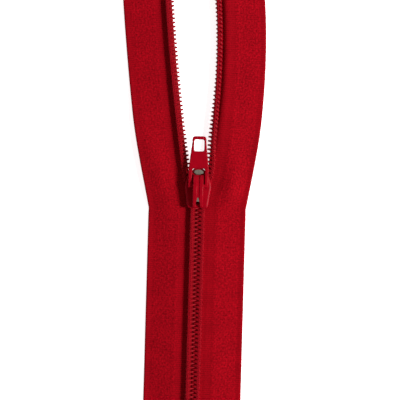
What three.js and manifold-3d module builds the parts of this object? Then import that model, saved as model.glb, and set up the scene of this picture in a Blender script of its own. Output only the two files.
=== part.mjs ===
// A closed-end nylon coil zipper, lying face up on a flat surface.
//
// Frame: millimetres. X runs across the chain, +Y along it from the bottom stop to the open end,
// +Z out of the face. The back of the slider and the outer edges of the tapes lie on Z = 0.
//
// Every textile piece is drawn straight, in the coordinates of its own half of the chain:
//   t  distance outward from the chain's centre line
//   z  height above the back of the tape
//   s  distance along the chain, 0 at the slider's rear end
// and is then laid along the half's path, which runs straight below the slider, spreads round
// the slider's wedge and goes on as an open leg.

import * as THREE from "three";
import { mergeVertices } from "three/addons/utils/BufferGeometryUtils.js";
import Module from "manifold-3d";

const wasm = await Module();
wasm.setup();

const LEFT = -1;
const RIGHT = 1;

// Chain and tape.
const PITCH = 1.052; // coil pitch of one half
const TAPE_WIDTH = { [LEFT]: 12.4, [RIGHT]: 12.2 }; // centre line to outer edge
const TAPE_INNER = 0.15; // inner edge of the tape
const TAPE_FLAT = 6.0; // the tape is level out to here and then falls to the surface
const TAPE_THICK = 0.55;
const TAPE_START = -72;
const TAPE_END = 80;
const COIL_START = -63;
const COIL_END = 66;
const COIL_BACK = 1.95; // outer side of the coil
const COIL_FRONT = 0.55; // inner side of the loops' bodies
const TOOTH_REACH = 0.45; // the heads pass the centre line by this much
const TOOTH_WIDTH = 0.42;
const TOOTH_ROOT = 0.2; // how far a head is rooted in the body
const COIL_BASE = 0.6; // above the back of the tape
const COIL_TOP = 2.1;
const CORD_CENTRE_Z = 1.35;
const CORD_CENTRE_T = 1.25;
const CORD_RADIUS = 0.36;
const CORD_CLEARANCE = 0.06;
const CORD_SIDES = 6;
const THREAD_T = 1.15; // centre of the seam on top of the coil
const THREAD_WIDTH = 0.36;
const THREAD_BASE = 2.14;
const THREAD_TOP = 2.24;

// Path of each half.
const LIFT = 0.9; // height of the tape's back above the surface, in the slider
const CHAIN_LIFT = 0.86; // the closed chain sags this little away from it
const SAG_START = -6;
const SAG_END = -1;
const LIFT_END = 36; // here the open leg has come down to the surface
const THROAT_START = 2.5;
const THROAT_PEAK = 5.6;
const CHAIN_END = 10.4; // the chain is cut into root and leg between these two
const LEG_START = 10.8;
const LEG_STRAIGHT = 52;
const THROAT_LEAN = { [LEFT]: 31.5, [RIGHT]: 29.5 }; // degrees outward
const MOUTH_LEAN = { [LEFT]: 9.3, [RIGHT]: 5.8 };
const TOP_LEAN = { [LEFT]: 5.2, [RIGHT]: -4.8 };
const LEAN_DELAY = { [LEFT]: 1, [RIGHT]: 1.6 }; // 1 is an even curve, more bends it later
const TURN_START = 0.5; // the weave starts to turn outward
const TURN_END = 12; // degrees, at the end of the chain
const WEDGE = 10.5; // opening cut between chain and leg tape, degrees
const WEDGE_CLOSED = 22; // the leg's weave is square to its path again
const TAPE_EDGE_THIN = 0.07; // the inner edge is this much thinner
const PATH_STEP = 0.1;
const MOUTH_START = 1.5; // cross sections stand this far apart along the curved halves
const MOUTH_STATION = 0.95;
const LEG_STATION = 2.2;
const STATION_GAP = 0.3; // none stands closer than this to a strand's end

// Past the slider the right leg's inner edge rolls over, until its coil stands on its heads.
const ROLL_T = 2.3; // the tape bends along this line
const ROLL_OUTSIDE = 0.01; // its face keeps its place just beyond the line
const ROLL_ANGLE = { [LEFT]: 0, [RIGHT]: 62 };
const ROLL_LIFT = { [LEFT]: 0, [RIGHT]: 2.33 }; // and is that much higher for it
const ROLL_EDGE = { [LEFT]: 0, [RIGHT]: 0.5 }; // height that the outer edge keeps
const ROLL_START = 13;
const ROLL_FULL = 32.8;
const UNROLL_START = 52.6;
const UNROLL_END = 61.4;

// Slider.
const SLIDER_REAR = 2.6; // half widths
const SLIDER_WIDE = 3.35;
const SLIDER_NOSE = 0.9;
const SLIDER_WIDE_Y = 5.2;
const SLIDER_LENGTH = 10.0;
const SLIDER_CORNER = 0.35;
const SHOULDER_STEPS = 6;
const SHOULDER_POINTED = 1.7; // 1 is a quarter of an ellipse, more is a sharper nose
const BOTTOM_PLATE = 0.75;
const BOTTOM_BEVEL = 0.15;
const FLANGE_BASE = 1.9;
const TOP_PLATE_BASE = 3.2;
const TOP_PLATE_TOP = 3.95;
const EDGE_BEVEL = 0.45;
const CHANNEL_REAR = 2.1; // half widths of the channel between the flanges
const CHANNEL_WIDE = 2.98;
const CHANNEL_STRAIGHT = 2.4; // it widens from here on
const FLANGE_END = 4.95;
const WEDGE_REAR = { y: 5.3, half: 0.15 };
const WEDGE_WIDE = { y: 8.2, half: 1.1 };
const WEDGE_FRONT = { y: 9.1, half: 0.5 };
const WEDGE_ROOT = 0.2; // depth of the wedge's ends inside the two plates
const PAWL_SLOT = { half: 0.8, rear: 1.2, front: 2.6 };
const PAST = 1; // cuts start this far outside the metal

// Crown.
const CROWN_HALF = 1.3;
const CROWN_REAR = { y: 0.1, top: 4.5 };
const CROWN_PEAK_Y = 4.6;
const CROWN_FRONT = { y: 8.3, top: 4.75 };
const CROWN_TOP = 6.15;
const CROWN_ROUND = 0.6; // 0.5 is an elliptical arch, more is a slimmer one
const CROWN_STEPS = 6; // on each side of the peak
const CROWN_ROOF = 0.4;
const CROWN_BEVEL = 0.2;
const CROWN_INSIDE = 0.85; // half width of the hollow
const HOLLOW_REAR = 1;
const FORK_DEPTH = 2.6;
const FORK_STRAIGHT = 0.4;
const FORK_HALF = 0.65;
const FORK_TIP_HALF = 0.12;
const FORK_FLOOR = 0.2;
const GROOVE_HALF = 0.38;
const GROOVE_DEPTH = 0.2;
const SEAT_GAP = 0.03;

// Pull tab and its cross bar.
const AXLE_Y = 5.5;
const AXLE_Z = 4.6;
const AXLE_RADIUS = 0.5;
const AXLE_CLEARANCE = 0.1;
const PULL_THICK = 0.9;
const PULL_BEVEL = 0.15;
const PULL_WIDE_HALF = 2.5;
const PULL_WIDE_END = 9.9; // the sides taper from here
const PULL_TAPER_END = 16.4; // to here
const PULL_TIP_Y = 17.9;
const PULL_TIP_HALF = 1.75;
const PULL_TIP_ROUND = 0.7;
const PULL_ARM_HALF = 1.57; // half width of the opening over the crown
const PULL_OPENING_END = 9.85;
const PULL_OPENING_ROUND = 0.4;
const WINDOW_HALF = 1.26;
const WINDOW_START = 14.15;
const WINDOW_END = 17.1;
const WINDOW_ROUND = 0.45;
const CORNER_STEPS = 3;
const ROUND_SIDES = 16;

// Lock spring: a pawl through the plate, a strip over the cross bar and a foot in front.
const PAWL = { rear: 1.6, front: 2.05, tip: 3.2, top: 4.2 };
const SPRING_THICK = 0.24;
const SPRING_HALF = 0.6;
const SPRING_Z = 5.16;
const SPRING_REAR = 3.4; // the strip is level from here
const SPRING_FRONT = 6.3; // to here
const SPRING_BEND = 0.15; // outer corners lie this much beyond the inner ones
const SPRING_DOWN = 7.5; // here it has come down to the foot
const SPRING_FOOT = { y: 9.0, halfWidth: 1.2, halfLength: 0.6, thick: 0.4, gap: 0.06 };

// Stops.
const STOP_LENGTH = 2.4;
const STOP_WALL = 0.45;
const STOP_GAP = 0.1;
const STOP_CORNER = 0.2;
const BOTTOM_STOP_START = -60;
const TOP_STOP_START = 62.6;

const DEGREES = Math.PI / 180;

const dyedTape = { color: 0xa0081a, roughness: 0.95, metalness: 0 };
const dyedNylon = { color: 0xa2091b, roughness: 0.45, metalness: 0 };
const paintedZinc = { color: 0xa8051a, roughness: 0.3, metalness: 0.1 };
const bareSteel = { color: 0xb8ab98, roughness: 0.35, metalness: 1 };

const clamp = (value) => Math.min(1, Math.max(0, value));
const mix = (a, b, k) => a + (b - a) * k;
const ease = (k) => k * k * (3 - 2 * k);
const between = (a, b, x) => clamp((x - a) / (b - a));

// ---------------------------------------------------------------- path of a half

// Outward lean of the coil at s, in degrees.
function lean(side, s) {
  if (s < THROAT_PEAK) {
    return THROAT_LEAN[side] * ease(between(THROAT_START, THROAT_PEAK, s));
  }
  if (s < CHAIN_END) {
    return mix(THROAT_LEAN[side], MOUTH_LEAN[side], ease(between(THROAT_PEAK, CHAIN_END, s)));
  }
  const along = between(CHAIN_END, LEG_STRAIGHT, s) ** LEAN_DELAY[side];
  return mix(MOUTH_LEAN[side], TOP_LEAN[side], along);
}

// Outward turn of the weave at s, in degrees: how far a weft thread points back along the chain.
function turn(side, s) {
  if (s <= CHAIN_END) {
    return TURN_END * ease(between(TURN_START, CHAIN_END, s));
  }
  const opened = TURN_END - WEDGE;
  return mix(opened, lean(side, s), ease(between(CHAIN_END, WEDGE_CLOSED, s)));
}

// Points of the centre line of one half, every PATH_STEP from s = 0.
function walk(side) {
  const points = [{ out: 0, y: 0 }];
  for (let s = PATH_STEP / 2; s < TAPE_END; s += PATH_STEP) {
    const last = points[points.length - 1];
    const angle = lean(side, s) * DEGREES;
    points.push({
      out: last.out + PATH_STEP * Math.sin(angle),
      y: last.y + PATH_STEP * Math.cos(angle),
    });
  }
  return points;
}

const paths = { [LEFT]: walk(LEFT), [RIGHT]: walk(RIGHT) };

function centre(side, s) {
  if (s <= 0) {
    return { out: 0, y: s };
  }
  const points = paths[side];
  const index = Math.min(Math.floor(s / PATH_STEP), points.length - 2);
  const k = s / PATH_STEP - index;
  return {
    out: mix(points[index].out, points[index + 1].out, k),
    y: mix(points[index].y, points[index + 1].y, k),
  };
}

// How far the inner edge has rolled over at s, from 0 to 1.
function rolled(s) {
  return between(ROLL_START, ROLL_FULL, s) * (1 - between(UNROLL_START, UNROLL_END, s));
}

// A point of the straight half after the roll.
function roll(side, t, z, s) {
  if (t >= ROLL_T || ROLL_ANGLE[side] === 0) {
    return { t, z };
  }
  const angle = ROLL_ANGLE[side] * DEGREES * rolled(s);
  const inward = t - ROLL_T;
  return {
    t: ROLL_T + inward * Math.cos(angle) - z * Math.sin(angle),
    z: inward * Math.sin(angle) + z * Math.cos(angle),
  };
}

// Height of the back of the tape above the surface.
function rise(side, t, s) {
  const chain = mix(CHAIN_LIFT, LIFT, between(SAG_START, SAG_END, s));
  const lift = chain * (1 - ease(between(LEG_START, LIFT_END, s)));
  const raised = mix(ROLL_LIFT[side], ROLL_EDGE[side], between(ROLL_T, TAPE_WIDTH[side], t));
  return lift * (1 - between(TAPE_FLAT, TAPE_WIDTH[side], t)) + rolled(s) * raised;
}

// Lays a point of the straight half along its path. swing is lean for a coil, turn for a tape.
function lay(side, t, z, s, swing) {
  const origin = centre(side, s);
  const angle = swing(side, s) * DEGREES;
  const turned = roll(side, t, z, s);
  return new THREE.Vector3(
    side * (origin.out + turned.t * Math.cos(angle)),
    origin.y - turned.t * Math.sin(angle),
    turned.z + rise(side, t, s),
  );
}

// ---------------------------------------------------------------- solids

function bare(geometry) {
  const copy = geometry.clone();
  copy.deleteAttribute("normal");
  copy.deleteAttribute("uv");
  return mergeVertices(copy, 1e-5);
}

function solid(geometry) {
  const merged = bare(geometry);
  return new wasm.Manifold(
    new wasm.Mesh({
      numProp: 3,
      vertProperties: new Float32Array(merged.attributes.position.array),
      triVerts: new Uint32Array(merged.index.array),
    }),
  );
}

function surface(manifold) {
  const mesh = manifold.getMesh();
  const geometry = new THREE.BufferGeometry();
  geometry.setAttribute("position", new THREE.BufferAttribute(new Float32Array(mesh.vertProperties), 3));
  geometry.setIndex(new THREE.BufferAttribute(new Uint32Array(mesh.triVerts), 1));
  geometry.computeVertexNormals();
  return geometry;
}

function reversed(geometry) {
  const index = geometry.index.array;
  for (let i = 0; i < index.length; i += 3) {
    [index[i], index[i + 1]] = [index[i + 1], index[i]];
  }
  return geometry;
}

function outline(points) {
  return new THREE.Shape(points.map(([x, y]) => new THREE.Vector2(x, y)));
}

// A closed geometry whose x, y, z are t, z, s, laid along a half's path.
function laid(geometry, side, swing) {
  const result = bare(geometry);
  const position = result.attributes.position;
  for (let i = 0; i < position.count; i += 1) {
    const point = lay(side, position.getX(i), position.getY(i), position.getZ(i), swing);
    position.setXYZ(i, point.x, point.y, point.z);
  }
  return side === RIGHT ? reversed(result) : result;
}

// A section drawn in t and z, carried through the stations along s.
function strand(section, stations, side, swing) {
  const steps = stations.length - 1;
  const geometry = new THREE.ExtrudeGeometry(section, { depth: steps, steps, bevelEnabled: false });
  const position = geometry.attributes.position;
  for (let i = 0; i < position.count; i += 1) {
    position.setZ(i, stations[Math.round(position.getZ(i))]);
  }
  return laid(geometry, side, swing);
}

function stations(from, to) {
  const marks = [SAG_START, SAG_END];
  for (let s = MOUTH_START; s < CHAIN_END; s += MOUTH_STATION) {
    marks.push(s);
  }
  for (let s = ROLL_START; s < TAPE_END; s += LEG_STATION) {
    marks.push(s);
  }
  return [from, ...marks.filter((s) => s > from + STATION_GAP && s < to - STATION_GAP), to];
}

function rectangle(t0, t1, z0, z1) {
  return outline([[t0, z0], [t1, z0], [t1, z1], [t0, z1]]);
}

function tapeSection(side) {
  const width = TAPE_WIDTH[side];
  return outline([
    [TAPE_INNER, 0],
    [ROLL_T, 0],
    [TAPE_FLAT, 0],
    [width, 0],
    [width, TAPE_THICK],
    [TAPE_FLAT, TAPE_THICK],
    [ROLL_T + ROLL_OUTSIDE, TAPE_THICK],
    [TAPE_INNER, TAPE_THICK - TAPE_EDGE_THIN],
  ]);
}

function cordSection(radius) {
  const points = [];
  for (let i = 0; i < CORD_SIDES; i += 1) {
    const angle = (i * 2 * Math.PI) / CORD_SIDES;
    points.push([CORD_CENTRE_T + radius * Math.cos(angle), CORD_CENTRE_Z + radius * Math.sin(angle)]);
  }
  return outline(points);
}

// The coil: loop bodies in one bar round the core cord, and one head per pitch.
function coil(side, from, to) {
  const marks = stations(from, to);
  const bar = strand(rectangle(COIL_FRONT, COIL_BACK, COIL_BASE, COIL_TOP), marks, side, lean);
  const heads = [];
  const phase = side === LEFT ? 0 : PITCH / 2;
  const reach = COIL_FRONT + TOOTH_ROOT + TOOTH_REACH;
  const first = Math.ceil((from + TOOTH_WIDTH - phase) / PITCH);
  for (let s = first * PITCH + phase; s < to - TOOTH_WIDTH; s += PITCH) {
    const head = new THREE.BoxGeometry(reach, COIL_TOP - COIL_BASE, TOOTH_WIDTH);
    head.translate(reach / 2 - TOOTH_REACH, (COIL_TOP + COIL_BASE) / 2, s);
    heads.push(solid(laid(head, side, lean)));
  }
  const beyond = [from - PAST, ...marks.slice(1, -1), to + PAST];
  const hollow = strand(cordSection(CORD_RADIUS + CORD_CLEARANCE), beyond, side, lean);
  const body = wasm.Manifold.union([solid(bar), ...heads]);
  return surface(body.subtract(solid(hollow)));
}

// ---------------------------------------------------------------- slider

// Half of a plate's edge, from its rear end to its nose.
function plateEdge() {
  const edge = [[SLIDER_REAR - SLIDER_CORNER, 0], [SLIDER_REAR, SLIDER_CORNER]];
  for (let i = 0; i <= SHOULDER_STEPS; i += 1) {
    const angle = (i / SHOULDER_STEPS) * (Math.PI / 2);
    const narrowing = Math.abs(Math.cos(angle)) ** SHOULDER_POINTED;
    edge.push([
      mix(SLIDER_NOSE, SLIDER_WIDE, narrowing),
      mix(SLIDER_WIDE_Y, SLIDER_LENGTH, Math.sin(angle)),
    ]);
  }
  return edge;
}

function mirrored(edge) {
  const other = edge.map(([x, y]) => [-x, y]).reverse();
  return outline([...edge, ...other]);
}

function plate(base, top, bevel) {
  const geometry = new THREE.ExtrudeGeometry(mirrored(plateEdge()), {
    depth: top - base - 2 * bevel,
    bevelThickness: bevel,
    bevelSize: bevel,
    bevelOffset: -bevel,
    bevelSegments: 2,
  });
  return solid(geometry.translate(0, 0, base + bevel));
}

function box(x0, x1, y0, y1, z0, z1) {
  const geometry = new THREE.BoxGeometry(x1 - x0, y1 - y0, z1 - z0);
  return solid(geometry.translate((x0 + x1) / 2, (y0 + y1) / 2, (z0 + z1) / 2));
}

function prism(shape, z0, z1) {
  const geometry = new THREE.ExtrudeGeometry(shape, { depth: z1 - z0, bevelEnabled: false });
  return solid(geometry.translate(0, 0, z0));
}

function sliderBody() {
  const wide = SLIDER_WIDE + PAST;
  const front = SLIDER_LENGTH + PAST;
  const under = FLANGE_BASE - PAST;
  const channel = mirrored([
    [CHANNEL_REAR, -PAST],
    [CHANNEL_REAR, CHANNEL_STRAIGHT],
    [CHANNEL_WIDE, FLANGE_END],
    [CHANNEL_WIDE, front],
  ]);
  const slot = PAWL_SLOT;
  const shell = plate(under, TOP_PLATE_TOP, EDGE_BEVEL)
    .subtract(box(-wide, wide, -PAST, front, under - PAST, FLANGE_BASE))
    .subtract(prism(channel, under, TOP_PLATE_BASE))
    .subtract(box(-wide, wide, FLANGE_END, front, under, TOP_PLATE_BASE))
    .subtract(box(-slot.half, slot.half, slot.rear, slot.front, FLANGE_BASE, TOP_PLATE_TOP + PAST));
  const wedge = mirrored([WEDGE_REAR, WEDGE_WIDE, WEDGE_FRONT].map(({ y, half }) => [half, y]));
  const post = prism(wedge, BOTTOM_PLATE - WEDGE_ROOT, TOP_PLATE_BASE + WEDGE_ROOT);
  return surface(shell.add(post).add(plate(0, BOTTOM_PLATE, BOTTOM_BEVEL)));
}

// Shape drawn in y and z, extruded across x.
const acrossX = new THREE.Matrix4().makeBasis(
  new THREE.Vector3(0, 1, 0),
  new THREE.Vector3(0, 0, 1),
  new THREE.Vector3(1, 0, 0),
);

function across(shape, half, bevel = 0) {
  const geometry = new THREE.ExtrudeGeometry(shape, {
    depth: 2 * (half - bevel),
    bevelEnabled: bevel > 0,
    bevelThickness: bevel,
    bevelSize: bevel,
    bevelOffset: -bevel,
    bevelSegments: 2,
  });
  geometry.translate(0, 0, bevel - half);
  return solid(geometry.applyMatrix4(acrossX));
}

// Height of the crown's arch at y.
function archHeight(y) {
  const end = y < CROWN_PEAK_Y ? CROWN_REAR : CROWN_FRONT;
  const off = (y - CROWN_PEAK_Y) / (end.y - CROWN_PEAK_Y);
  return mix(end.top, CROWN_TOP, Math.max(0, 1 - off * off) ** CROWN_ROUND);
}

// Points along the arch from y0 to y1, lower than it by depth.
function archLine(y0, y1, depth) {
  const points = [];
  for (let i = 0; i <= 2 * CROWN_STEPS; i += 1) {
    const y = mix(y0, y1, (1 - Math.cos((i / (2 * CROWN_STEPS)) * Math.PI)) / 2);
    points.push([y, archHeight(y) - depth]);
  }
  return points;
}

// Points of an arc, with its angles in quarter turns.
function arc(x, y, radius, from, to) {
  const steps = Math.round(Math.abs(to - from) * CORNER_STEPS);
  const points = [];
  for (let i = 0; i <= steps; i += 1) {
    const angle = (mix(from, to, i / steps) * Math.PI) / 2;
    points.push([x + radius * Math.cos(angle), y + radius * Math.sin(angle)]);
  }
  return points;
}

function sliderCrown() {
  const base = TOP_PLATE_TOP + SEAT_GAP;
  const under = base - PAST;
  const above = CROWN_TOP + PAST;
  const { y: rear } = CROWN_REAR;
  const { y: front } = CROWN_FRONT;
  const arch = outline([[front, base], [rear, base], ...archLine(rear, front, 0)]);
  const hollow = outline([
    [front + PAST, under],
    [HOLLOW_REAR, under],
    ...archLine(HOLLOW_REAR, front, CROWN_ROOF),
    [front + PAST, CROWN_FRONT.top - CROWN_ROOF],
  ]);
  const groove = outline([[front, above], [rear, above], ...archLine(rear, front, GROOVE_DEPTH)]);
  const room = AXLE_RADIUS + AXLE_CLEARANCE;
  const slot = outline([
    [AXLE_Y - room, under],
    [AXLE_Y + room, under],
    ...arc(AXLE_Y, AXLE_Z, room, 0, 2),
  ]);
  const fork = mirrored([
    [FORK_HALF, -PAST],
    [FORK_HALF, FORK_STRAIGHT],
    [FORK_TIP_HALF, FORK_DEPTH],
  ]);
  const crown = across(arch, CROWN_HALF, CROWN_BEVEL)
    .subtract(across(hollow, CROWN_INSIDE))
    .subtract(across(slot, CROWN_HALF + PAST))
    .subtract(prism(fork, base + FORK_FLOOR, above))
    .subtract(across(groove, GROOVE_HALF));
  return surface(crown);
}

function pullTab() {
  const tip = PULL_TIP_ROUND;
  const side = [
    [PULL_ARM_HALF, AXLE_Y],
    [PULL_WIDE_HALF, AXLE_Y],
    [PULL_WIDE_HALF, PULL_WIDE_END],
    [PULL_TIP_HALF, PULL_TAPER_END],
    ...arc(PULL_TIP_HALF - tip, PULL_TIP_Y - tip, tip, 0, 1),
  ];
  const bend = PULL_OPENING_ROUND;
  const opening = [
    ...arc(bend - PULL_ARM_HALF, PULL_OPENING_END - bend, bend, 2, 1),
    ...arc(PULL_ARM_HALF - bend, PULL_OPENING_END - bend, bend, 1, 0),
  ];
  const shape = outline([...side, ...side.map(([x, y]) => [-x, y]).reverse(), ...opening]);
  const round = WINDOW_ROUND;
  const window = outline([
    ...arc(WINDOW_HALF - round, WINDOW_START + round, round, 0, -1),
    ...arc(round - WINDOW_HALF, WINDOW_START + round, round, -1, -2),
    ...arc(round - WINDOW_HALF, WINDOW_END - round, round, 2, 1),
    ...arc(WINDOW_HALF - round, WINDOW_END - round, round, 1, 0),
  ]);
  shape.holes.push(window);
  const geometry = new THREE.ExtrudeGeometry(shape, {
    depth: PULL_THICK - 2 * PULL_BEVEL,
    bevelThickness: PULL_BEVEL,
    bevelSize: PULL_BEVEL,
    bevelOffset: -PULL_BEVEL,
    bevelSegments: 1,
  });
  geometry.translate(0, 0, AXLE_Z - PULL_THICK / 2 + PULL_BEVEL);
  const bar = new THREE.CylinderGeometry(AXLE_RADIUS, AXLE_RADIUS, 2 * PULL_WIDE_HALF, ROUND_SIDES);
  bar.rotateZ(Math.PI / 2).translate(0, AXLE_Y, AXLE_Z);
  return surface(solid(geometry).add(solid(bar)));
}

function lockSpring() {
  const foot = TOP_PLATE_TOP + SPRING_FOOT.gap;
  const top = SPRING_Z + SPRING_THICK;
  const strip = outline([
    [PAWL.rear, PAWL.tip],
    [PAWL.front, PAWL.tip],
    [PAWL.front, PAWL.top],
    [SPRING_REAR, SPRING_Z],
    [SPRING_FRONT, SPRING_Z],
    [SPRING_DOWN, foot],
    [SPRING_FOOT.y, foot],
    [SPRING_FOOT.y, foot + SPRING_THICK],
    [SPRING_DOWN + SPRING_BEND, foot + SPRING_THICK],
    [SPRING_FRONT + SPRING_BEND, top],
    [SPRING_REAR - SPRING_BEND, top],
    [PAWL.rear, PAWL.top + SPRING_BEND],
  ]);
  const pad = new THREE.CylinderGeometry(1, 1, SPRING_FOOT.thick, ROUND_SIDES);
  pad.rotateX(Math.PI / 2).scale(SPRING_FOOT.halfWidth, SPRING_FOOT.halfLength, 1);
  pad.translate(0, SPRING_FOOT.y, foot + SPRING_FOOT.thick / 2);
  return surface(across(strip, SPRING_HALF).add(solid(pad)));
}

// ---------------------------------------------------------------- stops

// A staple over a coil or over both: bar on top, legs down to the tape.
function staple(t0, t1, base0, base1) {
  const under = THREAD_TOP + STOP_GAP;
  const top = under + STOP_WALL;
  return outline([
    [t0, base0],
    [t0 + STOP_WALL, base0],
    [t0 + STOP_WALL, under],
    [t1 - STOP_WALL, under],
    [t1 - STOP_WALL, base1],
    [t1, base1],
    [t1, top - STOP_CORNER],
    [t1 - STOP_CORNER, top],
    [t0 + STOP_CORNER, top],
    [t0, top - STOP_CORNER],
  ]);
}

function bottomStop() {
  const half = COIL_BACK + STOP_GAP + STOP_WALL;
  const span = [BOTTOM_STOP_START, BOTTOM_STOP_START + STOP_LENGTH];
  return strand(staple(-half, half, COIL_BASE, COIL_BASE), span, RIGHT, lean);
}

function topStop(side) {
  const inner = TOOTH_REACH + STOP_GAP + STOP_WALL;
  const outer = COIL_BACK + STOP_GAP + STOP_WALL;
  const span = [TOP_STOP_START, TOP_STOP_START + STOP_LENGTH];
  return strand(staple(-inner, outer, 0, COIL_BASE), span, side, lean);
}

// ---------------------------------------------------------------- assembly

const zipper = new THREE.Group();

function piece(name, geometry, look) {
  const mesh = new THREE.Mesh(geometry, new THREE.MeshStandardMaterial(look));
  mesh.name = name;
  zipper.add(mesh);
}

function textiles(prefix, side, tape, chain) {
  const thread = rectangle(
    THREAD_T - THREAD_WIDTH / 2,
    THREAD_T + THREAD_WIDTH / 2,
    THREAD_BASE,
    THREAD_TOP,
  );
  const marks = stations(...chain);
  piece(`${prefix}_tape`, strand(tapeSection(side), stations(...tape), side, turn), dyedTape);
  piece(`${prefix}_coil`, coil(side, ...chain), dyedNylon);
  piece(`${prefix}_core_cord`, strand(cordSection(CORD_RADIUS), marks, side, lean), dyedTape);
  piece(`${prefix}_stitching`, strand(thread, marks, side, lean), dyedTape);
}

for (const [name, side] of [["left", LEFT], ["right", RIGHT]]) {
  textiles(name, side, [TAPE_START, CHAIN_END], [COIL_START, CHAIN_END]);
  textiles(`${name}_leg`, side, [LEG_START, TAPE_END], [LEG_START, COIL_END]);
  piece(`${name}_top_stop`, topStop(side), bareSteel);
}
piece("bottom_stop", bottomStop(), bareSteel);
piece("slider_body", sliderBody(), paintedZinc);
piece("slider_crown", sliderCrown(), paintedZinc);
piece("pull_tab", pullTab(), paintedZinc);
piece("lock_spring", lockSpring(), bareSteel);

// The origin is the middle of the whole zipper's footprint, on the surface it lies on.
const extent = new THREE.Box3().setFromObject(zipper);
const middle = extent.getCenter(new THREE.Vector3());
for (const mesh of zipper.children) {
  mesh.geometry.translate(-middle.x, -middle.y, 0);
}

export default zipper;
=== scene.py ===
"""The looks of a red nylon coil zipper, half open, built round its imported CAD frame.

Lengths are in millimetres in this script and turned into metres where a mesh is made.  Each half
of the zipper is drawn straight, as t (outward from the chain's centre line), z (above the back
of the tape) and s (along the chain from the slider's rear end), and laid along the line that
the half's core cord has in the frame.
"""

import math

import bpy
import numpy as np
from mathutils import Matrix, Vector


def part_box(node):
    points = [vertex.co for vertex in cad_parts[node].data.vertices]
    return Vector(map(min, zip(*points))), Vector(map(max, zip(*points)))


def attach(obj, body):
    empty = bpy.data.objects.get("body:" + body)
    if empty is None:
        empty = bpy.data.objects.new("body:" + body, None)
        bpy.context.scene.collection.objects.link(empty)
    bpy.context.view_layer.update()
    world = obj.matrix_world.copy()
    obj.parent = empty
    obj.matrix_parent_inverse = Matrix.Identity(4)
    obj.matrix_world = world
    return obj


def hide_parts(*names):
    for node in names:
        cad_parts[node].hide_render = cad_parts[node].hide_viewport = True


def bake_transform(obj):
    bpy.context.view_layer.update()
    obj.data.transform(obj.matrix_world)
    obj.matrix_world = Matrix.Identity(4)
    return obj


MM = 0.001
LEFT, RIGHT = -1, 1
NAMES = {LEFT: "left", RIGHT: "right"}

# Chain and tape.
PITCH = 1.052
TAPE_WIDTH = {LEFT: 12.4, RIGHT: 12.2}
TAPE_INNER = 0.15
TAPE_THICK = 0.55
CORD_T, CORD_Z, CORD_RADIUS = 1.25, 1.35, 0.36
SEAM_T, SEAM_Z = 1.15, 2.19
SEAM_TOP, SEAM_WAVE = 2.23, 0.08
COIL_FRONT, COIL_BACK = -0.45, 1.95
COIL_BASE, COIL_TOP = 0.6, 2.1
WIRE = 0.27  # radius of the coil's monofilament
THREAD = 0.16  # radius of the sewing thread

# The inner edge of the right leg is rolled over, coil down, about a line along the tape.
ROLL_T = 2.3
ROLL_BEND = 0.35  # the tape bends over this much to each side of the line
ROLL_MOST = math.radians(62)
ROLL_LIFT = 2.33  # the line is this much higher where the edge is rolled most
ROLL_EARLY = 0.55  # below 1, cloth rolls sooner past the slider than its plain solid does
ROLL_EDGE = 0.5  # height of the tape's outer edge where it is rolled most

# Camera and light.
VIEW_WIDTH = 100.9
LENS, SENSOR = 100.0, 36.0
ROLL = math.radians(1.6)
AIM = (0.55, 2.03)  # from the middle of the slider's rear end
KEY_ELEVATION = math.radians(47)
KEY_DISTANCE = 0.7
KEY_SPREAD = math.radians(13)
KEY_POWER = 5.65
FILL_ELEVATION = math.radians(38)
FILL_DISTANCE, FILL_SIZE, FILL_POWER = 1.0, 0.7, 1.0
SKY_STRENGTH = 0.06
FLOOR_HALF = 2000.0
FLOOR_DEPTH = 0.02  # the floor lies this far under the tapes
FLOOR_GLOW = 0.78  # the table is lit from inside, as a light table is

# Colours, linear.
TAPE_RED = (0.285, 0.0014, 0.0062)
COIL_RED = (0.30, 0.0016, 0.0075)
THREAD_RED = (0.36, 0.0025, 0.010)
PAINT_RED = (0.33, 0.0004, 0.008)
STEEL = (0.42, 0.37, 0.30)

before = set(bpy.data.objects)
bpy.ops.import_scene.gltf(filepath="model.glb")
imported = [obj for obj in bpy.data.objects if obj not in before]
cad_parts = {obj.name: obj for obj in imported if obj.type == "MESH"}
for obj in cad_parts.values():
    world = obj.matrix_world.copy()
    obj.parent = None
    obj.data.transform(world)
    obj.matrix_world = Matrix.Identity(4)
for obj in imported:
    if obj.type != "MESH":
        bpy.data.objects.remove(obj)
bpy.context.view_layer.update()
body_low, body_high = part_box("slider_body")
REAR = np.array([(body_low.x + body_high.x) / 2, body_low.y]) / MM


# ---------------------------------------------------------------- camera, light, floor


def make_camera():
    data = bpy.data.cameras.new("camera")
    data.lens, data.sensor_width = LENS, SENSOR
    camera = bpy.data.objects.new("camera", data)
    bpy.context.scene.collection.objects.link(camera)
    height = VIEW_WIDTH * LENS / SENSOR + 1
    x, y = REAR + np.array(AIM)
    camera.location = Vector((x, y, height)) * MM
    camera.rotation_euler = (0, 0, ROLL)
    bpy.context.scene.camera = camera


def area_light(name, direction, distance, size, power):
    data = bpy.data.lights.new(name, "AREA")
    data.shape = "DISK"
    data.size, data.energy = size, power
    light = bpy.data.objects.new(name, data)
    bpy.context.scene.collection.objects.link(light)
    light.location = Vector(direction) * distance
    light.rotation_euler = Vector(direction).to_track_quat("Z", "Y").to_euler()


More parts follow.
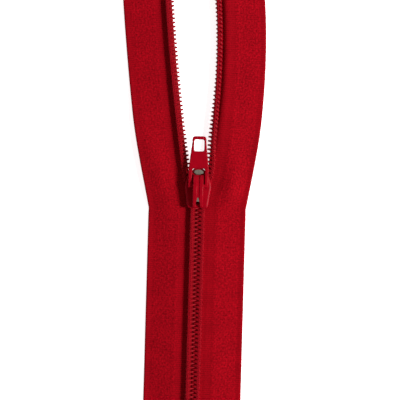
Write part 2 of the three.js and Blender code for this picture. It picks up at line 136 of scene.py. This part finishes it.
def make_light():
    toward = (math.cos(KEY_ELEVATION), 0, math.sin(KEY_ELEVATION))
    size = 2 * KEY_DISTANCE * math.tan(KEY_SPREAD / 2)
    area_light("key", toward, KEY_DISTANCE, size, KEY_POWER)
    for index, heading in enumerate((math.pi, math.pi / 2, -math.pi / 2)):
        low = math.cos(FILL_ELEVATION)
        beside = (low * math.cos(heading), low * math.sin(heading), math.sin(FILL_ELEVATION))
        area_light(f"fill_{index}", beside, FILL_DISTANCE, FILL_SIZE, FILL_POWER)
    world = bpy.data.worlds.new("studio")
    world.use_nodes = True
    sky = world.node_tree.nodes["Background"]
    sky.inputs["Color"].default_value = (1, 1, 1, 1)
    sky.inputs["Strength"].default_value = SKY_STRENGTH
    scene = bpy.context.scene
    scene.world = world
    scene.view_settings.view_transform = "Standard"
    scene.view_settings.look = "None"


# ---------------------------------------------------------------- material nodes


class Nodes:
    """A small helper to write a material's node tree as expressions."""

    SURFACE = {
        "roughness": "Roughness",
        "metallic": "Metallic",
        "specular_ior_level": "Specular IOR Level",
    }

    def __init__(self, name, **surface):
        self.material = bpy.data.materials.new(name)
        self.material.use_nodes = True
        self.tree = self.material.node_tree
        self.shader = self.tree.nodes["Principled BSDF"]
        for key, value in surface.items():
            self.put(self.shader, self.SURFACE[key], value)

    def put(self, node, socket, value):
        if isinstance(value, bpy.types.NodeSocket):
            self.tree.links.new(value, node.inputs[socket])
        elif isinstance(value, tuple) and len(value) == 3 and node.inputs[socket].type == "RGBA":
            node.inputs[socket].default_value = (*value, 1)
        else:
            node.inputs[socket].default_value = value

    def node(self, kind, inputs=None, **settings):
        made = self.tree.nodes.new(kind)
        for key, value in settings.items():
            setattr(made, key, value)
        for socket, value in (inputs or {}).items():
            self.put(made, socket, value)
        return made

    def math(self, operation, *values):
        made = self.node("ShaderNodeMath", operation=operation)
        for index, value in enumerate(values):
            self.put(made, index, value)
        return made.outputs[0]

    def lay(self):
        """The two coordinates that are stored on the mesh, apart and as one vector."""
        attribute = self.node("ShaderNodeAttribute", attribute_name="lay")
        split = self.node("ShaderNodeSeparateXYZ", {0: attribute.outputs["Vector"]})
        return split.outputs[0], split.outputs[1], attribute.outputs["Vector"]

    def noise(self, vector, scale, detail=2.0, rough=0.5):
        inputs = {"Vector": vector, "Scale": scale, "Detail": detail, "Roughness": rough}
        return self.node("ShaderNodeTexNoise", inputs).outputs["Fac"]

    def where(self):
        """The point in the object's own space, in millimetres."""
        spot = self.node("ShaderNodeTexCoord").outputs["Object"]
        scaled = self.node("ShaderNodeVectorMath", {0: spot, "Scale": 1 / MM}, operation="SCALE")
        return scaled.outputs[0]

    def tones(self, value, colour, *stops):
        """Shades of one colour along a value: each stop is a place and a brightness."""
        made = self.node("ShaderNodeValToRGB", {0: value})
        elements = made.color_ramp.elements
        while len(elements) < len(stops):
            elements.new(0.5)
        for element, (place, factor) in zip(elements, stops):
            shade = [channel * factor for channel in colour]
            element.position, element.color = place, (*shade, 1)
        self.put(self.shader, "Base Color", made.outputs[0])

    def swing(self, value, amount, base=0.0):
        """A value between 0 and 1, made to swing about a base by an amount."""
        return self.math("MULTIPLY_ADD", self.math("SUBTRACT", value, 0.5), amount, base)

    def smooth(self, value, low, high):
        inputs = {"Value": value, "From Min": low, "From Max": high}
        return self.node("ShaderNodeMapRange", inputs, interpolation_type="SMOOTHSTEP").outputs[0]

    def bump(self, height, distance, strength):
        """Relief too fine for the mesh; the distance is in millimetres."""
        inputs = {"Height": height, "Distance": distance * MM, "Strength": strength}
        self.put(self.shader, "Normal", self.node("ShaderNodeBump", inputs).outputs[0])


RIB = 0.526  # spacing of the tape's weft
WARP = 0.72  # spacing of its warp columns
KNOTTY = (4.3, 10.6)  # between these the weave is knotty, beyond them it is ribbed
KNOTTY_FADE = (0.5, 0.4)
KNOTS = 2.1  # knots of yarn to a millimetre
KNOT_DEPTH = 1.35
FIBRES = 3.4  # fibres to a millimetre
FIBRE_DEPTH = 0.8
THREAD_WANDER = 1.6  # how far weft and warp wander, in radians
RIB_DEPTH, RIB_DEPTH_LESS = 0.12, 0.07  # the second is taken off where the weave is knotty
COLUMN_DEPTH = 0.08
SMOOTH_PART, KNOTTY_PART = 0.3, 0.7  # share of the lumps outside the knotty zone and added in it
CLOUDS, CLOUD_DEPTH = 0.22, 0.35  # broad unevenness of the dye


def tape_material():
    """Woven polyester: ribs of weft, columns of warp and knots where they cross."""
    n = Nodes("woven_tape", roughness=0.92, specular_ior_level=0.04)
    t, s, lay = n.lay()
    knots = n.noise(lay, KNOTS, 1.0, 0.5)
    fibres = n.noise(lay, FIBRES, 3.0, 0.6)
    clouds = n.noise(lay, CLOUDS, 2.0)
    wander = n.swing(fibres, THREAD_WANDER)
    weft = n.math("SINE", n.math("MULTIPLY_ADD", s, 2 * math.pi / RIB, wander))
    warp = n.math("SINE", n.math("MULTIPLY_ADD", t, math.pi / WARP, wander))
    column = n.math("MULTIPLY", n.math("ABSOLUTE", warp), COLUMN_DEPTH)
    inside = n.smooth(t, KNOTTY[0], KNOTTY[0] + KNOTTY_FADE[0])
    outside = n.smooth(t, KNOTTY[1] + KNOTTY_FADE[1], KNOTTY[1])
    knotty = n.math("MULTIPLY", inside, outside)
    rib_depth = n.math("MULTIPLY_ADD", knotty, -RIB_DEPTH_LESS, RIB_DEPTH)
    ribs = n.math("MULTIPLY_ADD", weft, rib_depth, 0.5)
    lumps = n.swing(knots, KNOT_DEPTH, column)
    lump_share = n.math("MULTIPLY_ADD", knotty, KNOTTY_PART, SMOOTH_PART)
    weave = n.math("MULTIPLY_ADD", lumps, lump_share, ribs)
    grain = n.swing(fibres, FIBRE_DEPTH, weave)
    # Painted shade and glints: the colour follows the weave's relief and fibres, darker in the
    # hollows and up to 1.6 times lighter on the knots and fibre specks; the clouds are real
    # unevenness of the dye.
    n.tones(n.swing(clouds, CLOUD_DEPTH, grain), TAPE_RED, (0.1, 0.55), (0.5, 1.0), (0.95, 1.6))
    n.bump(grain, 0.07, 0.7)
    return n.material


CORD_PLY, THREAD_PLY = 0.9, 0.35  # length in which a yarn's plies turn once


def thread_material(name, colour, ply_length):
    """Twisted yarn: slanting plies that follow the strand."""
    n = Nodes(name, roughness=0.8, specular_ior_level=0.08)
    round_about, run, lay = n.lay()
    slant = n.math("MULTIPLY", round_about, 2.0)
    plies = n.math("SINE", n.math("MULTIPLY_ADD", run, 2 * math.pi / ply_length, slant))
    fibres = n.noise(lay, 4.0, 3.0, 0.6)
    tone = n.math("MULTIPLY_ADD", plies, 0.25, fibres)
    n.tones(tone, colour, (0.2, 0.6), (0.75, 1.2))
    n.bump(tone, 0.05, 0.6)
    return n.material


def coil_material():
    """Dyed nylon monofilament, cloudy inside."""
    n = Nodes("nylon_coil", specular_ior_level=0.1)
    spot = n.where()
    cloudy = n.noise(spot, 0.5, 2.0)
    fine = n.noise(spot, 7.0, 2.0, 0.6)
    n.tones(cloudy, COIL_RED, (0.3, 0.85), (0.7, 1.1))
    n.put(n.shader, "Roughness", n.math("MULTIPLY_ADD", fine, 0.25, 0.3))
    n.bump(fine, 0.01, 0.4)
    return n.material


def paint_material():
    """Enamel that has flowed before it set, made a little lighter along its sharp edges as a
    painted highlight.
    """
    n = Nodes("red_enamel", specular_ior_level=0.06)
    spot = n.where()
    flow = n.noise(spot, 0.9, 2.0)
    speck = n.noise(spot, 9.0, 3.0, 0.6)
    edge = n.node("ShaderNodeNewGeometry").outputs["Pointiness"]
    # Painted highlight: sharp edges, found by their pointiness, are made lighter.
    edge_highlight = n.smooth(edge, 0.5, 0.62)
    tone = n.math("MULTIPLY_ADD", edge_highlight, 0.25, flow)
    n.tones(tone, PAINT_RED, (0.3, 0.9), (0.95, 1.15))
    n.put(n.shader, "Roughness", n.math("MULTIPLY_ADD", speck, 0.14, 0.3))
    n.bump(n.math("MULTIPLY_ADD", speck, 0.25, flow), 0.03, 0.25)
    return n.material


def steel_material():
    """Bare steel with a grain drawn out along Y."""
    n = Nodes("bare_steel", metallic=1.0)
    stretched = {"Vector": n.where(), "Scale": (9.0, 0.8, 9.0)}
    drawn = n.node("ShaderNodeMapping", stretched).outputs[0]
    grain = n.noise(drawn, 1.2, 3.0, 0.6)
    n.tones(grain, STEEL, (0.25, 0.8), (0.8, 1.1))
    n.put(n.shader, "Roughness", n.math("MULTIPLY_ADD", grain, 0.25, 0.28))
    n.bump(grain, 0.01, 0.3)
    return n.material


def floor_material():
    n = Nodes("light_table", roughness=0.7, specular_ior_level=0.1)
    n.tones(n.noise(n.where(), 0.02, 2.0), (1, 1, 1), (0.3, 0.86), (0.7, 0.9))
    n.put(n.shader, "Emission Color", (1.0, 1.0, 1.0))
    n.put(n.shader, "Emission Strength", FLOOR_GLOW)
    return n.material


# ---------------------------------------------------------------- the line of each half


def smoothed(values, sigma, step):
    """Values at even steps, blurred over a length; straight runs stay as they are."""
    reach = int(4 * sigma / step)
    kernel = np.exp(-0.5 * (np.arange(-reach, reach + 1) * step / sigma) ** 2)
    padded = np.pad(values, reach, mode="reflect", reflect_type="odd")
    return np.convolve(padded, kernel / kernel.sum(), mode="valid")


RING_GAP = 0.3  # points nearer to each other than this along Y are of one ring


def ring_centres(names):
    """Centres of the rings of points that a strand's nodes are made of, sorted by Y."""
    points = [np.array([v.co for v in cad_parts[name].data.vertices]) / MM for name in names]
    points = np.unique(np.concatenate(points).round(3), axis=0)
    points = points[np.argsort(points[:, 1])]
    cuts = np.where(np.diff(points[:, 1]) > RING_GAP)[0] + 1
    return np.array([(ring.min(0) + ring.max(0)) / 2 for ring in np.split(points, cuts)])


class Half:
    """The centre line of one half of the zipper, sampled every STEP along Y."""

    STEP = 0.1
    SPREAD = 24.0  # the outer edge has found its line again this far past the slider's rear
    EDGE_SLOPE = {LEFT: 0.20, RIGHT: 0.17}
    MARGIN = 4.0  # the line is sampled this far past the tape's ends
    LEAD_REAR, LEAD_FRONT = 8.0, 5.0  # and the cord is carried on straight for these
    LEAD_RINGS = 8  # in the direction of this many of its last rings
    TAPE_TRIM = 0.4
    ROLL_FROM = 12.0  # no edge is rolled nearer to the slider's rear end than this
    SOFT_LINE, SOFT_HEIGHT, SOFT_ROLL = 0.7, 1.2, 0.8  # lengths that the line is blurred over
    SOFT_SQUARE, SOFT_EDGE = 3.5, 0.5  # and those for the outer edge

    def __init__(self, side):
        self.side, self.name = side, NAMES[side]
        rings = ring_centres([f"{self.name}_core_cord", f"{self.name}_leg_core_cord"])
        seam = ring_centres([f"{self.name}_stitching", f"{self.name}_leg_stitching"])
        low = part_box(f"{self.name}_tape")[0].y / MM
        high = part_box(f"{self.name}_leg_tape")[1].y / MM
        y = np.arange(low - self.MARGIN, high + self.MARGIN, self.STEP)
        rings = self.carried_on(rings, high)
        x = smoothed(np.interp(y, rings[:, 1], rings[:, 0]), self.SOFT_LINE, self.STEP)
        slope = np.gradient(x, y)
        long = np.sqrt(1 + slope**2)
        normal = np.stack([side / long, -side * slope / long], 1)
        cord = np.stack([x, y], 1)
        z = np.interp(y, rings[:, 1], rings[:, 2])
        # The seam stands over the cord; where it leans inward, the edge is rolled by as much.
        over_t = side * (np.interp(y, seam[:, 1], seam[:, 0]) - x) / long
        over_z = np.interp(y, seam[:, 1], seam[:, 2]) - z
        upright = math.atan2(CORD_T - SEAM_T, SEAM_Z - CORD_Z)
        open_leg = (y > REAR[1] + self.ROLL_FROM) & (y < seam[-1, 1])
        roll = np.where(open_leg, np.arctan2(-over_t, over_z) - upright, 0)
        self.roll = np.clip(smoothed(roll, self.SOFT_HEIGHT, self.STEP), 0, ROLL_MOST)
        cord_t, cord_z = self.rolled(CORD_T, CORD_Z, self.roll, 0)
        share = self.roll / ROLL_MOST
        sooner = share**ROLL_EARLY
        height = z - cord_z + ROLL_LIFT * (sooner - share)
        self.back = smoothed(height, self.SOFT_HEIGHT, self.STEP)
        self.centre = cord - cord_t[:, None] * normal
        self.roll = smoothed(sooner * ROLL_MOST, self.SOFT_ROLL, self.STEP)
        self.normal = normal
        steps = np.linalg.norm(np.diff(self.centre, axis=0), axis=1)
        run = np.concatenate([[0], np.cumsum(steps)])
        self.s = run - np.interp(REAR[1], self.centre[:, 1], run)
        self.start = np.interp(low, self.centre[:, 1], self.s)
        self.end = np.interp(high, self.centre[:, 1], self.s) - self.TAPE_TRIM
        self.edge = self.outer_edge()

    def carried_on(self, rings, high):
        """The cord's ring centres, carried on straight past both ends of the tape."""
        steps = rings[-1] - rings[-self.LEAD_RINGS]
        beyond = rings[-1] + steps / steps[1] * (high + self.LEAD_FRONT - rings[-1][1])
        beyond[2] = rings[-1][2]
        before = rings[0] - (0, self.LEAD_REAR, 0)
        return np.vstack([before, rings, beyond])

    @staticmethod
    def rolled(t, z, angle, bend):
        """A point of the straight half after its inner edge has rolled over by an angle."""
        inward = ROLL_T - t
        if bend:
            k = np.clip((inward + bend) / (2 * bend), 0, 1)
        else:
            k = np.where(inward > 0, 1.0, 0.0)
        beyond = bend * k**2 + np.maximum(inward - bend, 0)
        before = bend * (1 - k) ** 2 + np.maximum(-inward - bend, 0)
        tilt = np.arctan2(k * np.sin(angle), 1 - k + k * np.cos(angle))
        return (
            ROLL_T + before - beyond * np.cos(angle) - z * np.sin(tilt),
            z * np.cos(tilt) - beyond * np.sin(angle),
        )

    def span(self, rear_node, front_node):
        """s at the rear end of one of the frame's nodes and at the front end of another."""
        ends = (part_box(rear_node)[0].y / MM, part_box(front_node)[1].y / MM)
        return np.interp(ends, self.centre[:, 1], self.s)

    def at(self, table, s):
        return np.stack([np.interp(s, self.s, table[:, i]) for i in range(2)], -1)

    def lay(self, t, z, s):
        """Points of the straight half, laid along its line."""
        t, z, s = np.broadcast_arrays(*(np.asarray(v, float) for v in (t, z, s)))
        t, z = self.rolled(t, z, np.interp(s, self.s, self.roll), 0)
        flat = self.at(self.centre, s) + self.at(self.normal, s) * t[..., None]
        height = z + np.interp(s, self.s, self.back)
        return np.concatenate([flat, height[..., None]], -1)

    def outer_edge(self):
        """The tape's outer edge: square to the chain, except beside the slider, where the
        weave shears and the edge starts outward at the slider's rear end."""
        width = TAPE_WIDTH[self.side]
        sides = [smoothed(column, self.SOFT_SQUARE, self.STEP) for column in self.normal.T]
        square = np.stack(sides, 1)
        square /= np.linalg.norm(square, axis=1)[:, None]
        edge = self.centre + square * width
        y0, y1 = REAR[1], REAR[1] + self.SPREAD
        order = np.argsort(edge[:, 1])
        x0 = REAR[0] + self.side * width
        x1 = np.interp(y1, edge[order, 1], edge[order, 0])
        slope = (np.interp(y1 + 1, edge[order, 1], edge[order, 0]) - x1) * self.SPREAD
        start = self.side * self.EDGE_SLOPE[self.side] * self.SPREAD
        k = np.clip((edge[:, 1] - y0) / self.SPREAD, 0, 1)
        near = (2 * k**3 - 3 * k**2 + 1) * x0 + (k**3 - 2 * k**2 + k) * start
        far = (3 * k**2 - 2 * k**3) * x1 + (k**3 - k**2) * slope
        inside = (k > 0) & (k < 1)
        edge[inside, 0] = (near + far)[inside]
        edge[:, 0] = smoothed(edge[:, 0], self.SOFT_EDGE, self.STEP)
        return edge


halves = {side: Half(side) for side in (LEFT, RIGHT)}


# ---------------------------------------------------------------- meshes


def mesh_object(name, points, faces, material, lay=None):
    """A smooth mesh; lay holds two coordinates for each point, for its material to use."""
    mesh = bpy.data.meshes.new(name)
    mesh.from_pydata((np.asarray(points).reshape(-1, 3) * MM).tolist(), [], faces)
    mesh.materials.append(material)
    mesh.polygons.foreach_set("use_smooth", [True] * len(mesh.polygons))
    if lay is not None:
        attribute = mesh.attributes.new("lay", "FLOAT_VECTOR", "POINT")
        attribute.data.foreach_set("vector", np.asarray(lay, np.float32).reshape(-1))
    mesh.update()
    made = bpy.data.objects.new(name, mesh)
    bpy.context.scene.collection.objects.link(made)
    return made


def grid_faces(rows, columns):
    """Quads of a tube: rows of points, each row closed round its columns, with end caps."""
    faces = []
    for row in range(rows - 1):
        for column in range(columns):
            a = row * columns + column
            b = row * columns + (column + 1) % columns
            faces.append((a, b, b + columns, a + columns))
    first = tuple(range(columns))
    last = tuple(range((rows - 1) * columns, rows * columns))
    return [*faces, first[::-1], last]


def outward(obj):
    """Turns a closed mesh's faces to point out."""
    mesh = obj.data
    mesh.calc_loop_triangles()
    points = np.array([v.co for v in mesh.vertices]) / MM
    corners = points[np.array([t.vertices for t in mesh.loop_triangles])]
    volume = np.einsum("ij,ij->i", corners[:, 0], np.cross(corners[:, 1], corners[:, 2])).sum()
    if volume < 0:
        mesh.flip_normals()
    return obj


STEEP = 0.3  # a strand nearer to the up direction than this takes its side from Y


def tube(name, line, radius, sides, material, up=(0, 0, 1), squeeze=None):
    """A round strand along a line of points; squeeze scales its two radii at each point."""
    line = np.asarray(line, float)
    tangent = np.gradient(line, axis=0)
    tangent /= np.linalg.norm(tangent, axis=1)[:, None]
    side = np.cross(tangent, np.asarray(up, float))
    short = np.linalg.norm(side, axis=1) < STEEP
    side[short] = np.cross(tangent[short], (0, 1, 0))
    for i in range(1, len(side)):
        if side[i] @ side[i - 1] < 0:
            side[i] = -side[i]
    side /= np.linalg.norm(side, axis=1)[:, None]
    over = np.cross(side, tangent)
    angle = np.arange(sides) * 2 * math.pi / sides
    wide, high = (np.ones(len(line)),) * 2 if squeeze is None else squeeze
    across = side[:, None] * (np.cos(angle) * (radius * wide)[:, None])[..., None]
    upward = over[:, None] * (np.sin(angle) * (radius * high)[:, None])[..., None]
    points = line[:, None] + across + upward
    run = np.concatenate([[0], np.cumsum(np.linalg.norm(np.diff(line, axis=0), axis=1))])
    lay = np.stack(np.broadcast_arrays(angle[None], run[:, None], 0.0), -1)
    return outward(mesh_object(name, points, grid_faces(len(line), sides), material, lay))


# ---------------------------------------------------------------- textiles


def ease(k):
    k = np.clip(k, 0, 1)
    return k * k * (3 - 2 * k)


def hill(x, centre, width):
    return np.exp(-(((x - centre) / width) ** 2))


TAPE_ROWS = 0.5
TAPE_COLUMNS = {"inner": 24, "outer": 34}
COLUMNS_MEET = 4.0  # t where the finer inner columns end
FACE_INSET, BACK_INSET = 0.04, 0.03  # the cloth stays this far inside its plain solid's faces
EDGE_ROUND = 0.16
OUTER_ROUND, INNER_ROUND = 0.18, 0.12  # lengths over which the two edges are rounded
SEAT = 0.08  # the cloth stands up to the coil that is sewn on it
SEAT_FADE = 0.35

# Height of the tape.  A hill has a centre and a half width.
FALL_START, FALL_LESS = 4.4, 4.9  # level to the first; falls over the width less the second
HUMP = {LEFT: 0.75, RIGHT: 1.15}  # the tape buckles up beside the slider, where it is crowded
HUMP_ACROSS, HUMP_ALONG = (7.4, 2.6), (7.5, 6.5)
OUTER_CURL = {LEFT: 1.3, RIGHT: 0.0}  # and the left leg's outer edge curls up past it
CURL_START, CURL_WIDTH, CURL_ALONG = 4.0, 7.0, (17, 13)
WAVES = ((0.10, 6.1, 1), (0.07, 3.3, 2))  # height, length for a radian, phase for each side
WAVE_START = 3.5  # t
WAVE_LIFT = 0.17  # keeps the waves off the surface

# Relief of its face: a height, a centre and a half width.
CORDED_BAND, SEAM_BAND = (0.07, 5.0, 0.55), (0.04, 2.9, 0.5)
EDGE_STRIP, SELVEDGE = (-0.05, 1.5, 0.45), (0.07, 0.45, 0.35)  # from the outer edge
KNIT_DEPTH, KNIT_WIDTH = 0.012, 1.3


def tape_height(half, t, s):
    """Height of the tape's back above the surface."""
    width = TAPE_WIDTH[half.side]
    chain = np.interp(s, half.s, half.back)
    rolled = np.interp(s, half.s, half.roll) / ROLL_MOST
    straight = np.clip((t - ROLL_T) / (width - ROLL_T), 0, 1)
    draped = ease((t - FALL_START) / (width - FALL_LESS))
    fall = 1 - (1 - rolled) * draped - rolled * straight
    hump = HUMP[half.side] * hill(t, *HUMP_ACROSS) * hill(s, *HUMP_ALONG)
    loose = ease((t - WAVE_START) / (width - WAVE_START))
    wave = sum(high * np.sin(s / long + turn * half.side) for high, long, turn in WAVES)
    lifted = ease((t - CURL_START) / CURL_WIDTH)
    curl = OUTER_CURL[half.side] * lifted * hill(s, *CURL_ALONG)
    return chain * fall + rolled * straight * ROLL_EDGE + hump + curl + loose * (wave + WAVE_LIFT)


def tape_relief(half, t, s):
    """Extra thickness of the tape's face: the corded bands, the edge strip and the selvedge."""

    def ridge(place, height, centre, width):
        return height * hill(place, centre, width)

    inward = TAPE_WIDTH[half.side] - t
    bands = ridge(t, *CORDED_BAND) + ridge(t, *SEAM_BAND)
    edge = ridge(inward, *EDGE_STRIP) + ridge(inward, *SELVEDGE)
    knit = KNIT_DEPTH * np.sin(math.pi * s / PITCH) * np.sin(2 * math.pi * t / KNIT_WIDTH)
    return bands + edge + knit


def make_tape(half, material):
    """A closed woven sheet from the inner to the outer edge, rolled where the half is rolled."""
    width = TAPE_WIDTH[half.side]
    inner_part = np.linspace(TAPE_INNER, COLUMNS_MEET, TAPE_COLUMNS["inner"])[:-1]
    outer_part = np.linspace(COLUMNS_MEET, width, TAPE_COLUMNS["outer"])
    across = np.concatenate([inner_part, outer_part])
    along = np.arange(half.start, half.end, TAPE_ROWS)
    t, s = np.meshgrid(across, along)
    normal = half.at(half.normal, s)
    inner = half.at(half.centre, s) + normal * TAPE_INNER
    outer = half.at(half.edge, s)
    share = (t - TAPE_INNER) / (width - TAPE_INNER)
    flat = inner + (outer - inner) * share[..., None]
    back = tape_height(half, t, s)
    round_edge = EDGE_ROUND * (hill(t, width, OUTER_ROUND) + hill(t, TAPE_INNER, INNER_ROUND))
    seat = SEAT * (1 - ease((t - COIL_BACK) / SEAT_FADE))
    top = back + TAPE_THICK - FACE_INSET + seat + tape_relief(half, t, s) - round_edge
    bottom = back + BACK_INSET + round_edge
    angle = np.interp(s, half.s, half.roll)

    def turned(height):
        out, up = half.rolled(t, height - back, angle, ROLL_BEND)
        place = flat + normal * (out - t)[..., None]
        return np.concatenate([place, (back + up)[..., None]], -1)

    upper, lower = turned(top), turned(bottom)
    ring = np.concatenate([upper, lower[:, ::-1]], 1)
    lay_ring = np.stack([np.concatenate([t, t[:, ::-1]], 1), np.concatenate([s, s], 1)], -1)
    lay_ring = np.concatenate([lay_ring, np.zeros_like(lay_ring[..., :1])], -1)
    faces = grid_faces(len(along), 2 * len(across))
    # The caps would be long many-sided faces, so they are made of quads instead.
    del faces[-2:]
    count, ring_size = len(across), 2 * len(across)
    for base in (0, (len(along) - 1) * ring_size):
        for i in range(count - 1):
            quad = (base + i, base + i + 1, base + ring_size - 2 - i, base + ring_size - 1 - i)
            faces.append(quad if base == 0 else quad[::-1])
    made = mesh_object(f"{half.name}_tape_cloth", ring, faces, material, lay_ring)
    return outward(made)


LOOP_POINTS = 16
LOOP_SQUARE, LOOP_FLAT = 0.75, 0.8  # 1 is an ellipse, less is nearer to a rectangle
LOOP_LEAN = 0.9  # 0 is an even helix; nearer 1, a turn moves on at its back and not at its head
HEAD_TAPER, TAPER_LENGTH = 0.3, 1.4  # the loops are this much lower at their heads
HEAD_WIDE, LIMB_WIDE = 0.93, 1.6  # flattened width of the wire along the chain
LIMB_START = 0.32  # the loops are widest from twice this far out
COIL_TRIM = 0.8
WIRE_SIDES = 8


def make_coil(half, material):
    """The flattened spiral: each turn runs over the cord to its head and back under it."""
    phase = 0.0 if half.side == LEFT else PITCH / 2
    low, high = half.span(f"{half.name}_coil", f"{half.name}_leg_coil")
    turns = int((high - COIL_TRIM - low) / PITCH)
    first = math.ceil(low / PITCH) * PITCH + phase
    angle = np.arange(turns * LOOP_POINTS + 1) * 2 * math.pi / LOOP_POINTS
    half_length = (COIL_BACK - COIL_FRONT) / 2 - WIRE
    half_height = (COIL_TOP - COIL_BASE) / 2 - WIRE
    cosine, sine = np.cos(angle), np.sin(angle)
    reach = np.sign(cosine) * np.abs(cosine) ** LOOP_SQUARE
    t = (COIL_BACK + COIL_FRONT) / 2 + half_length * reach
    taper = 1 - HEAD_TAPER * (1 - ease((t - COIL_FRONT) / TAPER_LENGTH))
    rise = np.sign(sine) * np.abs(sine) ** LOOP_FLAT
    z = (COIL_BASE + COIL_TOP) / 2 + half_height * rise * taper
    s = first - PITCH / 2 + PITCH * (angle + LOOP_LEAN * sine) / (2 * math.pi)
    limb = ease((t - LIMB_START) / LIMB_START)
    squeeze = (np.ones_like(t), HEAD_WIDE + (LIMB_WIDE - HEAD_WIDE) * limb)
    line = half.lay(t, z, s)
    name = f"{half.name}_coil_wire"
    return tube(name, line, WIRE, WIRE_SIDES, material, up=(0, 1, 0), squeeze=squeeze)


CORD_STEP, CORD_SIDES, CORD_TRIM = 0.5, 12, 0.1
CORD_ASIDE = 0.12  # the cord lies this much nearer to the chain's centre than its plain solid
CORD_WIDE, CORD_HIGH = 1.75, 0.75  # and is flattened by this much


def make_cord(half, material):
    """The core cord, flattened by the coil that it runs in."""
    low, high = half.span(f"{half.name}_core_cord", f"{half.name}_leg_core_cord")
    s = np.arange(low + CORD_TRIM, high - CORD_TRIM, CORD_STEP)
    line = half.lay(CORD_T - CORD_ASIDE, CORD_Z, s)
    flattened = (np.full(len(s), CORD_WIDE), np.full(len(s), CORD_HIGH))
    name = f"{half.name}_cord"
    return tube(name, line, CORD_RADIUS, CORD_SIDES, material, squeeze=flattened)


STITCH_POINTS, THREAD_SIDES, THREAD_TRIM = 8, 7, 0.2
STITCH_ASIDE, STITCH_SWING = 0.08, 0.30  # from the cord's line


def make_stitching(half, material):
    """Two threads that cross over the coil once in each pitch, in a row of chain stitches."""
    low, high = half.span(f"{half.name}_stitching", f"{half.name}_leg_stitching")
    s = np.arange(low + THREAD_TRIM, high - THREAD_TRIM, PITCH / STITCH_POINTS)
    phase = 2 * math.pi * s / PITCH + (0 if half.side == LEFT else math.pi)
    strands = []
    for turn in (0, math.pi):
        t = CORD_T + STITCH_ASIDE + STITCH_SWING * np.cos(phase + turn)
        z = SEAM_TOP - THREAD - SEAM_WAVE + SEAM_WAVE * np.sin(phase + turn)
        line = half.lay(t, z, s)
        strands.append(tube(f"{half.name}_seam", line, THREAD, THREAD_SIDES, material))
    return joined(f"{half.name}_seam_threads", strands)


def joined(name, objects):
    """One object made of several."""
    with bpy.context.temp_override(
        active_object=objects[0], selected_editable_objects=objects, object=objects[0]
    ):
        bpy.ops.object.join()
    objects[0].name = name
    return objects[0]


def follow(half, piece, slot, *nodes):
    """The piece, already laid along its half's line, is fixed in world space and stands for those
    nodes, which are hidden.
    """
    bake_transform(piece)
    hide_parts(*nodes)


# ---------------------------------------------------------------- cast and stamped metal


STOP_VOXEL = BODY_VOXEL = 0.08
PULL_VOXEL = 0.07
CROWN_VOXEL = 0.06
SPRING_VOXEL = 0.05


def rounded(node, material, voxel, passes, body):
    """A copy of a CAD node with its edges and corners rounded off by some smoothing passes."""
    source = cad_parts[node]
    mesh = source.data.copy()
    mesh.transform(Matrix.Scale(1 / MM, 4))
    made = bpy.data.objects.new(f"{node}_cast", mesh)
    bpy.context.scene.collection.objects.link(made)
    remesh = made.modifiers.new("remesh", "REMESH")
    remesh.mode, remesh.voxel_size, remesh.adaptivity = "VOXEL", voxel, 0.0
    relax = made.modifiers.new("relax", "SMOOTH")
    relax.factor, relax.iterations = 0.5, passes
    depsgraph = bpy.context.evaluated_depsgraph_get()
    final = bpy.data.meshes.new_from_object(made.evaluated_get(depsgraph))
    made.modifiers.clear()
    final.transform(Matrix.Scale(MM, 4))
    final.materials.clear()
    final.materials.append(material)
    final.polygons.foreach_set("use_smooth", [True] * len(final.polygons))
    made.data = final
    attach(made, body)
    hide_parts(node)
    return made


# ---------------------------------------------------------------- assembly

make_camera()
make_light()

corners = np.array([(-1, -1, 0), (1, -1, 0), (1, 1, 0), (-1, 1, 0)]) * FLOOR_HALF
corners[:, 2] -= FLOOR_DEPTH
mesh_object("light_table", corners, [(0, 1, 2, 3)], floor_material())

cloth = tape_material()
nylon = coil_material()
cord_yarn = thread_material("core_cord_yarn", TAPE_RED, CORD_PLY)
seam_yarn = thread_material("sewing_thread", THREAD_RED, THREAD_PLY)
enamel = paint_material()
steel = steel_material()

for half in halves.values():
    side = half.name
    tape = make_tape(half, cloth)
    follow(half, tape, "tape", f"{side}_tape", f"{side}_leg_tape")
    follow(half, make_coil(half, nylon), "coil", f"{side}_coil", f"{side}_leg_coil")
    follow(half, make_cord(half, cord_yarn), "cord", f"{side}_core_cord", f"{side}_leg_core_cord")
    seam = make_stitching(half, seam_yarn)
    follow(half, seam, "thread", f"{side}_stitching", f"{side}_leg_stitching")
    rounded(f"{side}_top_stop", steel, STOP_VOXEL, 3, f"{side}_leg")

rounded("bottom_stop", steel, STOP_VOXEL, 3, "closed_chain")
rounded("slider_body", enamel, BODY_VOXEL, 5, "slider")
rounded("slider_crown", enamel, CROWN_VOXEL, 5, "slider")
rounded("pull_tab", enamel, PULL_VOXEL, 4, "pull")
rounded("lock_spring", steel, SPRING_VOXEL, 2, "lock")
